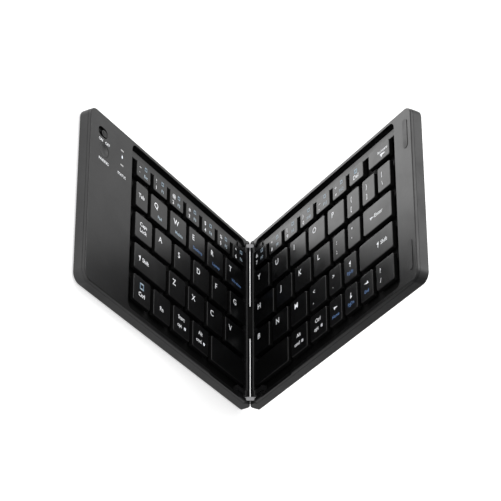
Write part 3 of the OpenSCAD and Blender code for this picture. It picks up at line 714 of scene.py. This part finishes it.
def markCap(inks, low, high, mark, half, v):
    white, pale, blue = inks["white"], inks["pale"], inks["blue"]
    level = high.z + inkStyle["lift"]
    left, right = low.x + capStyle["flare"], high.x - capStyle["flare"]
    front, rear = low.y + capStyle["flare"], high.y - capStyle["flare"]
    kind, first = mark[:2]
    p = v[kind]
    small = v["smallHeight"]

    def at(u, t, start=(left + right) / 2):
        return Vector((start + u * mm, (front + rear) / 2 + t * mm, level))

    if kind == "number":
        addWords(white, first, at(p["fromLeft"], p["upper"], left), v["digitHeight"])
        addWords(white, mark[2], at(p["fromLeft"], p["lower"], left), v["digitHeight"])
        addFrame(pale, at(*p["frame"]), p["frameSize"] * mm, p["line"] * mm)
        addWords(pale, mark[3], at(*p["below"]), small, centred=True)
    if kind == "letter":
        foot = rear - p["fromRear"][half] * mm - v["letterHeight"]
        place = Vector((left + p["fromLeft"][half] * mm, foot, level))
        addWords(white, first, place, v["letterHeight"])
        if mark[2]:
            addWords(inks[mark[3]], mark[2], at(*p["below"]), small, centred=True)
    if kind == "word":
        addWords(white, first, at(p["u"], mark[2]), v["wordHeight"], centred=True)
    if kind == "two":
        height = v["wordHeight"] * p["share"]
        addWords(white, first, at(*p["upper"]), height, centred=True)
        addWords(white, mark[2], at(*p["lower"]), height, centred=True)
    if kind == "signed":
        height = v["wordHeight"]
        addWords(white, first, at(*p["upper"]), height * p["upperShare"], centred=True)
        addWords(white, mark[2], at(*p["lower"]), height * p["lowerShare"], centred=True)
        addFrame(white, at(*p["frame"]), p["frameSize"] * mm, p["line"] * mm)
    if kind == "framed":
        deep = (rear - front) / mm
        share, drop = p["word"]
        size = deep * p["frameSize"] * mm
        addFrame(pale, at(p["u"], deep * p["frame"]), size, p["line"] * mm)
        addWords(white, first, at(p["u"], deep * share + drop), v["wordHeight"], centred=True)
    if kind == "back":
        place = at(p["fromRight"], p["word"], right)
        addWords(white, first, place, small * p["share"], centred=True)
        addArrow(white, at(p["fromRight"], p["arrow"], right), p["arrowSize"] * mm, 180)
    if kind == "pair":
        addWords(white, first, at(p["fromLeft"], p["upper"], left), v["signHeight"])
        addWords(white, mark[2], at(p["fromLeft"], p["lower"], left), v["signHeight"])
    if kind == "arrowWord":
        across = left + (right - left) * mark[3]
        addArrow(white, at(*p["arrow"], across), p["arrowSize"] * mm, first)
        addWords(white, mark[2], at(*p["word"], across), small * p["share"])
    if kind == "arrow":
        addArrow(white, at(*p["arrow"]), p["arrowSize"] * mm, first)
        addWords(blue, mark[2], at(*p["below"]), small, centred=True)


for name, marks in keyMarks.items():
    half, boxes = caps[name]
    inks = {ink: bmesh.new() for ink in ("white", "pale", "blue")}
    for (low, high), mark in zip(boxes, marks, strict=True):
        markCap(inks, low, high, mark, half, markStyle)
    for ink, bm in inks.items():
        if not bm.verts:
            bm.free()
            continue
        bmesh.ops.transform(bm, matrix=halves[half], verts=bm.verts)
        finishPiece(bm, f"{name}_{ink}_ink", bodyOf[name], ink + "Ink")
print("key marks made")

panelMarks = {
    "height": 1.5 * mm,
    "statusHeight": 1.35 * mm,
    "switchPlace": 3.9 * mm,  # behind the middle of the button
    "buttonPlace": -6.7 * mm,
    "statusPlace": -5.8 * mm,  # from the front window
    "bar": (0.9 * mm, 1.7 * mm),
    "barPlace": -4 * mm,  # from the rear window
}


def markPanel(v):
    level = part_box("left_top_frame")[1].z - leftPin.z + inkStyle["lift"]
    buttonLow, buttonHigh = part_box("connect_button")
    windowLow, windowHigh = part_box("indicator_light_pipes")
    buttonU = (buttonLow.x + buttonHigh.x) / 2 - leftPin.x
    buttonT = (buttonLow.y + buttonHigh.y) / 2
    windowU = (windowLow.x + windowHigh.x) / 2 - leftPin.x
    switchPlace = Vector((buttonU, buttonT + v["switchPlace"], level))
    buttonPlace = Vector((buttonU, buttonT + v["buttonPlace"], level))
    statusPlace = Vector((windowU, windowLow.y + v["statusPlace"], level))
    bm = bmesh.new()
    addWords(bm, "ON   OFF", switchPlace, v["height"], centred=True)
    addWords(bm, "PAIRING", buttonPlace, v["height"], centred=True)
    addWords(bm, "STATUS", statusPlace, v["statusHeight"], centred=True)
    addBar(bm, Vector((windowU, windowHigh.y + v["barPlace"], level)), *v["bar"])
    bmesh.ops.transform(bm, matrix=halves["left"], verts=bm.verts)
    finishPiece(bm, "panel_marks", "left_half", "whiteInk")


markPanel(panelMarks)
print("panel marks made")

# each ramp has its start and end in metres, and the brightness that it rises to
floorStyle = {
    "reach": 6,
    "paper": 0.8,
    "rough": 0.9,
    "seen": 0.55,  # light that only the camera sees
    "dim": 0.22,  # what gloss sees of the paper before the ramps
    "frontRamp": (-0.25, -0.07, 0.6),
    "rearRamp": (0.042, 0.074, 2.75),  # along rearWay
    "rearWay": (0.35, 1, 0),
    "leftRamp": (0.05, 0.085, 1.65),
}


def makeFloor(v):
    bm = bmesh.new()
    bmesh.ops.create_grid(bm, x_segments=2, y_segments=2, size=v["reach"])
    bmesh.ops.translate(bm, vec=(0, 0, cadBox[0][2]), verts=bm.verts)
    mesh = bpy.data.meshes.new("floor")
    bm.to_mesh(mesh)
    bm.free()
    obj = bpy.data.objects.new("floor", mesh)
    bpy.context.scene.collection.objects.link(obj)
    material, tree, shader, vector = newMaterial("floorPaper")
    shader.inputs["Base Color"].default_value = (v["paper"], v["paper"], v["paper"], 1)
    shader.inputs["Roughness"].default_value = v["rough"]
    path = addNode(tree, "ShaderNodeLightPath")
    split = addNode(tree, "ShaderNodeSeparateXYZ")
    leftward = addNode(tree, "ShaderNodeMath", operation="MULTIPLY")
    leftward.inputs[1].default_value = -1
    rearward = addNode(tree, "ShaderNodeVectorMath", operation="DOT_PRODUCT")
    rearward.inputs[1].default_value = v["rearWay"]
    seen = addNode(tree, "ShaderNodeMath", operation="MULTIPLY")
    seen.inputs[1].default_value = v["seen"]
    white = addNode(tree, "ShaderNodeEmission")
    mirrored = addNode(tree, "ShaderNodeEmission")
    add = addNode(tree, "ShaderNodeAddShader")
    pick = addNode(tree, "ShaderNodeMixShader")
    links = tree.links
    links.new(path.outputs["Is Camera Ray"], seen.inputs[0])
    links.new(seen.outputs[0], white.inputs["Strength"])
    links.new(shader.outputs[0], add.inputs[0])
    links.new(white.outputs[0], add.inputs[1])
    links.new(vector, split.inputs[0])
    links.new(split.outputs["X"], leftward.inputs[0])
    links.new(vector, rearward.inputs[0])
    ramps = ((rearward.outputs["Value"], v["rearRamp"]), (leftward.outputs[0], v["leftRamp"]),
             (split.outputs["Y"], v["frontRamp"]))
    brightest = None
    for along, (start, end, glow) in ramps:
        ramp = addRange(tree, along, start, end, v["dim"], glow, way="SMOOTHSTEP").outputs[0]
        if brightest is None:
            brightest = ramp
            continue
        brighter = addNode(tree, "ShaderNodeMath", operation="MAXIMUM")
        links.new(brightest, brighter.inputs[0])
        links.new(ramp, brighter.inputs[1])
        brightest = brighter.outputs[0]
    links.new(brightest, mirrored.inputs["Strength"])
    links.new(path.outputs["Is Glossy Ray"], pick.inputs[0])
    links.new(add.outputs[0], pick.inputs[1])
    links.new(mirrored.outputs[0], pick.inputs[2])
    links.new(pick.outputs[0], tree.nodes["Material Output"].inputs["Surface"])
    mesh.materials.append(material)


makeFloor(floorStyle)

# an even white room, with broad soft areas given by their way, spread and power
room = {
    "base": 0.85,
    "areas": {
        "above": ((0.05, 0.5, 0.86), 0.88, 2.8),
        "behind": ((0.73, 0.52, 0.44), 0.86, 0.17),
        "front": ((0.5, -0.8, 0.1), 0.2, -0.6),  # takes light away
    },
}


def makeWorld(v):
    world = bpy.data.worlds.new("studio")
    bpy.context.scene.world = world
    world.use_nodes = True
    tree = world.node_tree
    ways = addNode(tree, "ShaderNodeTexCoord")
    base = v["base"]
    total = None
    for way, spread, power in v["areas"].values():
        facing = addNode(tree, "ShaderNodeVectorMath", operation="DOT_PRODUCT")
        facing.inputs[1].default_value = Vector(way).normalized()
        tree.links.new(ways.outputs["Generated"], facing.inputs[0])
        area = addRange(tree, facing.outputs["Value"], spread, 1, base, base + power,
                        way="SMOOTHSTEP").outputs[0]
        if total is None:
            total = area
            base = 0  # the first area already has the even white
            continue
        add = addNode(tree, "ShaderNodeMath", operation="ADD")
        tree.links.new(total, add.inputs[0])
        tree.links.new(area, add.inputs[1])
        total = add.outputs[0]
    back = tree.nodes["Background"]
    back.inputs["Color"].default_value = (1, 1, 1, 1)
    tree.links.new(total, back.inputs["Strength"])


makeWorld(room)
print("floor and room made")

bpy.context.scene.view_settings.view_transform = "Standard"
